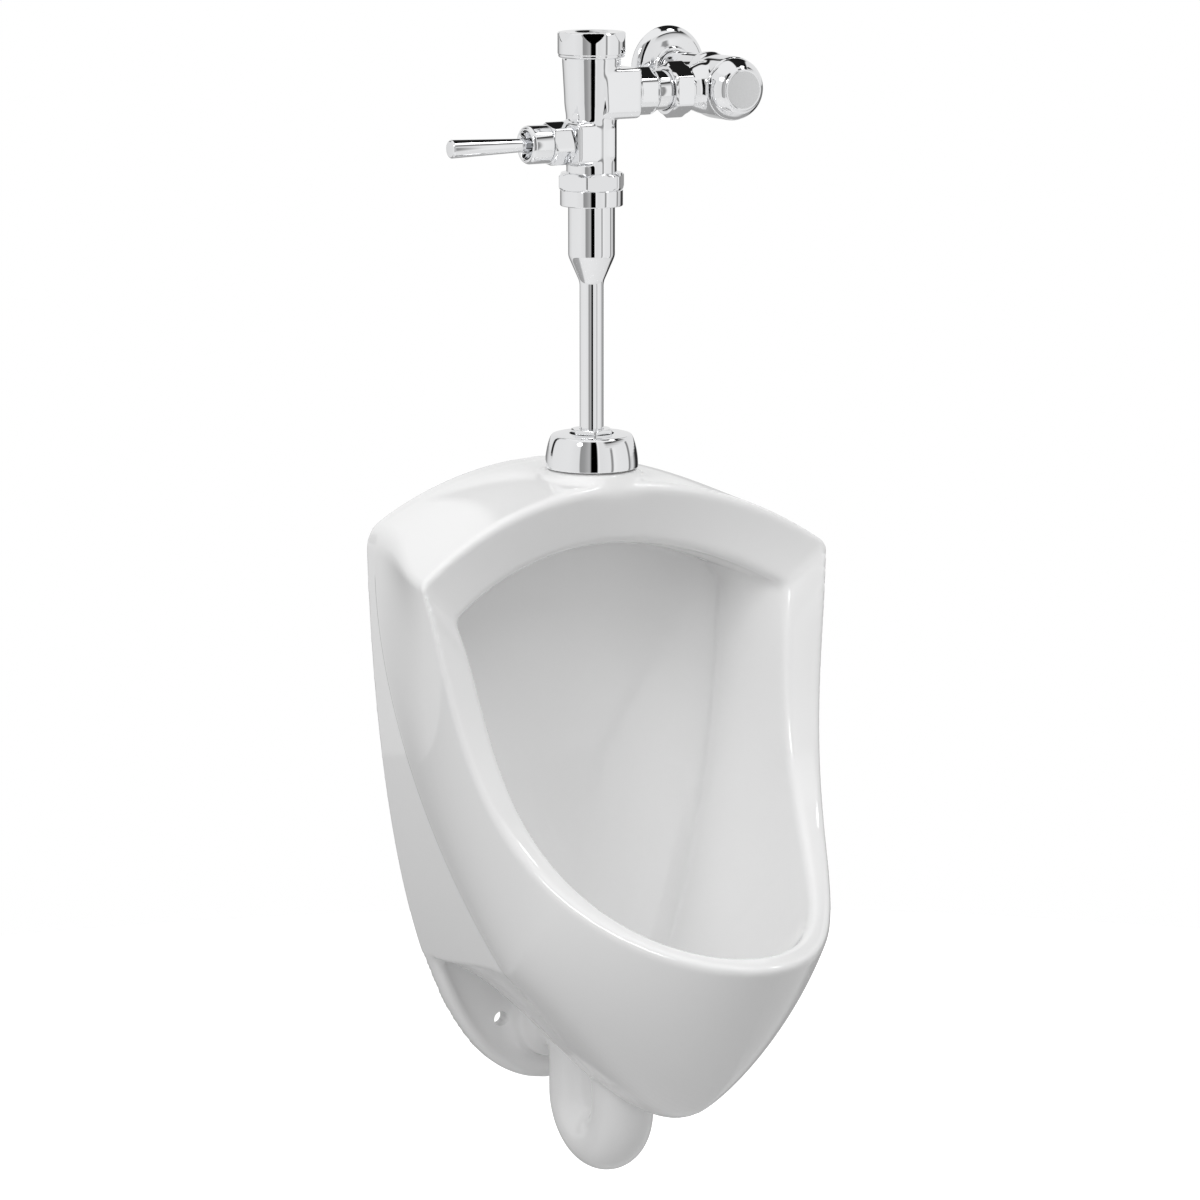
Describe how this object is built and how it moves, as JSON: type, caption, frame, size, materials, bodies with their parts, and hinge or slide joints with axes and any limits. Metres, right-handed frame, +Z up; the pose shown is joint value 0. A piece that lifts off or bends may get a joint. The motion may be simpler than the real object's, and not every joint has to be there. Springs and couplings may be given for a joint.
{
  "type": "wall hung urinal with flush valve",
  "caption": "White wall-hung china urinal with a deep bowl and open trapway, flushed by an exposed chrome lever valve fed through an angle stop.",
  "frame": {"origin": "centre of the waste outlet, on the finished wall", "axes": "+X to the right seen from the front, +Y into the wall, +Z up"},
  "size_m": [0.3704, 0.3698, 0.9265],
  "materials": {
    "china": "white vitreous china, glossy glaze",
    "chrome": "polished chrome plate on brass",
    "brass": "plain turned brass",
    "rubber": "black moulded rubber",
    "plastic": "moulded natural plastic",
    "steel": "zinc plated or stainless steel"
  },
  "bodies": {
    "urinal": {"china_body": "china", "wall_hangers": "steel", "waste_gasket": "rubber", "inlet_spud": "brass", "spud_gasket": "rubber", "spud_washer": "brass", "spud_locknut": "brass", "spud_coupling_nut": "chrome", "tube_gasket": "rubber", "friction_ring": "plastic", "spud_escutcheon": "chrome", "vacuum_breaker_tube": "chrome", "breaker_body": "plastic", "breaker_sleeve": "rubber", "breaker_washer": "plastic", "breaker_nut": "chrome", "valve_body": "chrome", "seat_ring": "brass", "inner_cover": "plastic", "cover_seal": "rubber", "top_cap": "chrome", "handle_gasket": "rubber", "handle_bushing": "brass", "plunger_seal": "rubber", "plunger_spring": "steel", "handle_socket": "chrome", "handle_nut": "chrome", "inlet_ring": "chrome", "tailpiece": "chrome", "tailpiece_oring": "rubber", "lock_ring": "plastic", "coupling_nut": "chrome", "stop_body": "chrome", "stop_spring": "steel", "stop_bonnet": "brass", "stop_cap": "chrome", "supply_adapter": "brass", "cover_tube": "chrome", "wall_flange": "chrome", "flange_screw": "steel"},
    "lever": {"handle_lever": "chrome"},
    "plunger": {"plunger": "brass"},
    "piston": {"piston": "plastic", "piston_cup": "rubber", "piston_seat_washer": "rubber"},
    "relief_valve": {"relief_valve": "brass"},
    "stop_screw": {"stop_screw": "brass"},
    "stop_plunger": {"stop_plunger": "brass", "stop_washer": "rubber"}
  },
  "joints": [
    {"name": "handle_tilt", "type": "hinge", "parent": "urinal", "child": "lever", "pos_m": [-0.048, -0.085, 0.7401], "axis": [0, -1, 0], "range_deg": [0, 12], "stiffness_Nm_per_rad": 0.5, "springref_deg": -17.19},
    {"name": "plunger_slide", "type": "slide", "parent": "urinal", "child": "plunger", "axis": [1, 0, 0], "range_m": [0, 0.004], "deforming": ["plunger_spring"]},
    {"name": "piston_lift", "type": "slide", "parent": "urinal", "child": "piston", "axis": [0, 0, 1], "range_m": [0, 0.009]},
    {"name": "relief_tilt", "type": "hinge", "parent": "piston", "child": "relief_valve", "pos_m": [-0.0095, -0.085, 0.785], "axis": [0, -1, 0], "range_deg": [0, 4]},
    {"name": "stop_screw_turn", "type": "hinge", "parent": "urinal", "child": "stop_screw", "pos_m": [0.12, -0.1, 0.7675], "axis": [0, 1, 0], "range_deg": [0, 720]},
    {"name": "stop_plunger_slide", "type": "slide", "parent": "urinal", "child": "stop_plunger", "axis": [0, 1, 0], "range_m": [0, 0.005], "deforming": ["stop_spring"]}
  ],
  "couplings": [
    {"joint": "plunger_slide", "follows": "handle_tilt", "m_per_rad": 0.018},
    {"joint": "relief_tilt", "follows": "handle_tilt", "ratio": 0.325},
    {"joint": "stop_screw_turn", "follows": "stop_plunger_slide", "rad_per_m": 2513.3}
  ]
}
